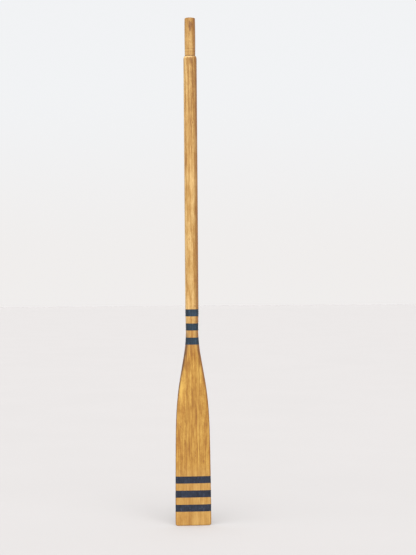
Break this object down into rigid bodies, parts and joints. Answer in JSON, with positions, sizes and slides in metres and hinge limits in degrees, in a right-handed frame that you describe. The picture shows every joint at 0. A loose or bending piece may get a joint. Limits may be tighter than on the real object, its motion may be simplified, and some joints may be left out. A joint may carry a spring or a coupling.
{
  "type": "rowing oar",
  "caption": "Wooden rowing oar: round loom with a shouldered turned grip, glued-up flat blade, and navy painted bands round the neck and across the blade.",
  "frame": {"origin": "middle of the narrow flat on the blade's tip, on the oar's axis", "axes": "+Z along the oar's axis from the blade's tip to the grip's end, +X across the blade, +Y through its thickness; the face towards -Y is the front"},
  "size_m": [0.1272, 0.0474, 1.8],
  "materials": {
    "grip_wood": "hand-worn satin varnish over straight-grained softwood",
    "loom_wood": "satin varnish over honey-stained straight-grained softwood",
    "cheek_wood": "satin varnish over honey-stained softwood with streaky grain",
    "band_paint": "satin navy paint, brushed between masked edges"
  },
  "bodies": {
    "root": {"grip": "grip_wood", "loom": "loom_wood", "blade_cheek_left": "cheek_wood", "blade_cheek_right": "cheek_wood", "neck_band_lower": "band_paint", "neck_band_middle": "band_paint", "neck_band_upper": "band_paint", "blade_band_lower": "band_paint", "blade_band_middle": "band_paint", "blade_band_upper": "band_paint"}
  },
  "joints": []
}
